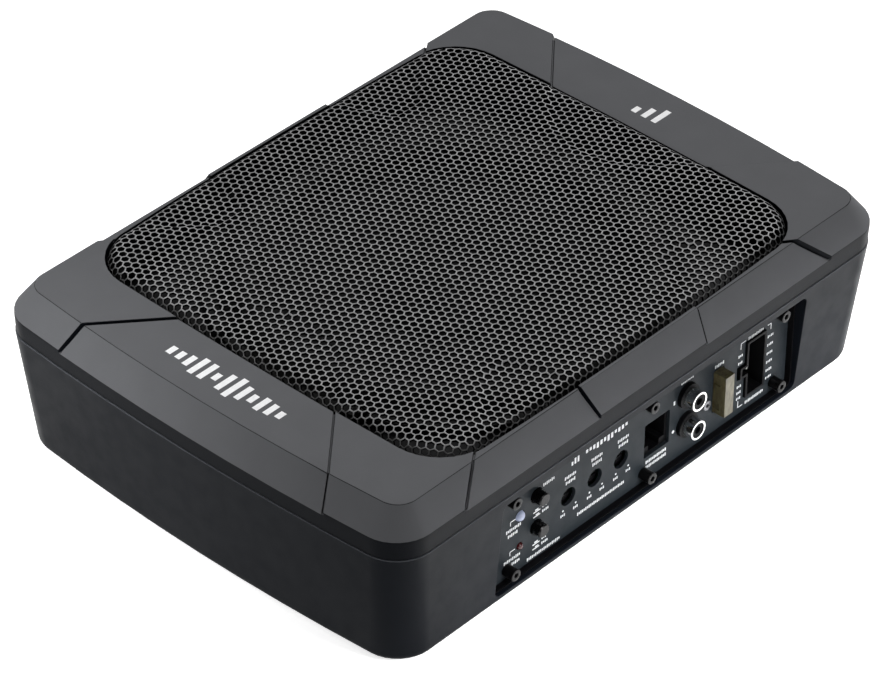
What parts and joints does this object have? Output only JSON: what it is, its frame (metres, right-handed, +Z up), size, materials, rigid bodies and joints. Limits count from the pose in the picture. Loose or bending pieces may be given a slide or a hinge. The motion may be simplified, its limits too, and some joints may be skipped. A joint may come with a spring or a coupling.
{
  "type": "powered car subwoofer",
  "caption": "Slim powered underseat car subwoofer: cast housing, plastic cover, domed perforated grille, shallow woofer, amplifier boards and a recessed control panel.",
  "frame": {"origin": "centre of the footprint, on the surface that the rubber feet stand on", "axes": "+X along the length, -Y towards the wall with the control panel, +Z up out of the grille"},
  "size_m": [0.285, 0.2096, 0.0776],
  "materials": {
    "housing_paint": "satin black paint on die-cast aluminium",
    "cover_plastic": "fine matte texture, dark grey",
    "grille_steel": "dark grey powder coat on perforated steel",
    "panel_plate": "satin dark grey",
    "black_plastic": "moulded nylon",
    "button_plastic": "smooth",
    "led_blue": "diffused lens",
    "led_red": "diffused lens",
    "nickel": "bright nickel plate",
    "gold_contact": "gold flash",
    "fuse_plastic": "translucent olive",
    "tin": "tin plate",
    "black_screw": "black oxide",
    "zinc_screw": "zinc plate",
    "brass_insert": "machined",
    "rubber": "moulded",
    "board": "green solder mask",
    "chip_black": "moulded epoxy",
    "trimmer_blue": "moulded",
    "can_sleeve": "shrink sleeve",
    "copper_wire": "enamelled copper",
    "wire_red": "vinyl",
    "ribbon_grey": "vinyl",
    "frame_steel": "black paint on pressed steel",
    "plate_steel": "zinc plate",
    "ferrite": "sintered ferrite",
    "spider_cloth": "treated cotton",
    "cone_pulp": "coated paper pulp",
    "baffle_steel": "black paint"
  },
  "bodies": {
    "chassis": {"lower_housing": "housing_paint", "top_cover": "cover_plastic", "grille": "grille_steel", "grille_frame": "black_plastic", "grille_screws": "zinc_screw", "baffle_plate": "baffle_steel", "cover_screws": "black_screw", "rubber_feet": "rubber", "bracket_inserts": "brass_insert", "control_panel": "panel_plate", "panel_screws": "black_screw", "power_led": "led_blue", "protect_led": "led_red", "push_switches": "black_plastic", "panel_bezel": "black_plastic", "low_pass_trimmer": "trimmer_blue", "bass_boost_trimmer": "trimmer_blue", "gain_trimmer": "trimmer_blue", "remote_jack": "black_plastic", "remote_contacts": "gold_contact", "rca_block": "black_plastic", "rca_shells": "nickel", "rca_insulators": "black_plastic", "rca_screw": "zinc_screw", "fuse_holder": "black_plastic", "fuse_clips": "tin", "power_header": "black_plastic", "header_pins": "tin", "control_board": "board", "board_spacers": "brass_insert", "amplifier_board": "board", "supply_board": "board", "board_screws": "zinc_screw", "board_chips": "chip_black", "filter_capacitors": "can_sleeve", "output_inductors": "copper_wire", "supply_transformer": "copper_wire", "power_transistors": "chip_black", "transistor_clamps": "zinc_screw", "speaker_leads": "wire_red", "supply_leads": "wire_red", "signal_ribbon": "ribbon_grey", "speaker_basket": "frame_steel", "top_plate": "plate_steel", "magnet": "ferrite", "back_plate": "plate_steel", "frame_gasket": "rubber", "speaker_screws": "black_screw", "spider": "spider_cloth", "surround": "rubber"},
    "diaphragm": {"voice_coil": "copper_wire", "cone": "cone_pulp", "dust_cap": "cone_pulp"},
    "phase_key": {"phase_button": "button_plastic"},
    "auto_power_key": {"auto_power_button": "button_plastic"},
    "low_pass_spindle": {"low_pass_shaft": "button_plastic"},
    "bass_boost_spindle": {"bass_boost_shaft": "button_plastic"},
    "gain_spindle": {"gain_shaft": "button_plastic"},
    "fuse": {"fuse_body": "fuse_plastic", "fuse_blades": "tin"}
  },
  "joints": [
    {"name": "cone_excursion", "type": "slide", "parent": "chassis", "child": "diaphragm", "axis": [0, 0, 1], "range_m": [-0.004, 0.004], "stiffness_N_per_m": 4000, "deforming": ["spider", "surround"]},
    {"name": "phase_press", "type": "slide", "parent": "chassis", "child": "phase_key", "axis": [0, 1, 0], "range_m": [0, 0.0022], "stiffness_N_per_m": 600},
    {"name": "auto_power_press", "type": "slide", "parent": "chassis", "child": "auto_power_key", "axis": [0, 1, 0], "range_m": [0, 0.0022], "stiffness_N_per_m": 600},
    {"name": "low_pass_turn", "type": "hinge", "parent": "chassis", "child": "low_pass_spindle", "pos_m": [-0.038, -0.09, 0.0252], "axis": [0, -1, 0], "range_deg": [-140, 140]},
    {"name": "bass_boost_turn", "type": "hinge", "parent": "chassis", "child": "bass_boost_spindle", "pos_m": [-0.023, -0.09, 0.0252], "axis": [0, -1, 0], "range_deg": [-140, 140]},
    {"name": "gain_turn", "type": "hinge", "parent": "chassis", "child": "gain_spindle", "pos_m": [-0.008, -0.09, 0.0252], "axis": [0, -1, 0], "range_deg": [-140, 140]},
    {"name": "fuse_pull", "type": "slide", "parent": "chassis", "child": "fuse", "axis": [0, -1, 0], "range_m": [0, 0.018]}
  ]
}
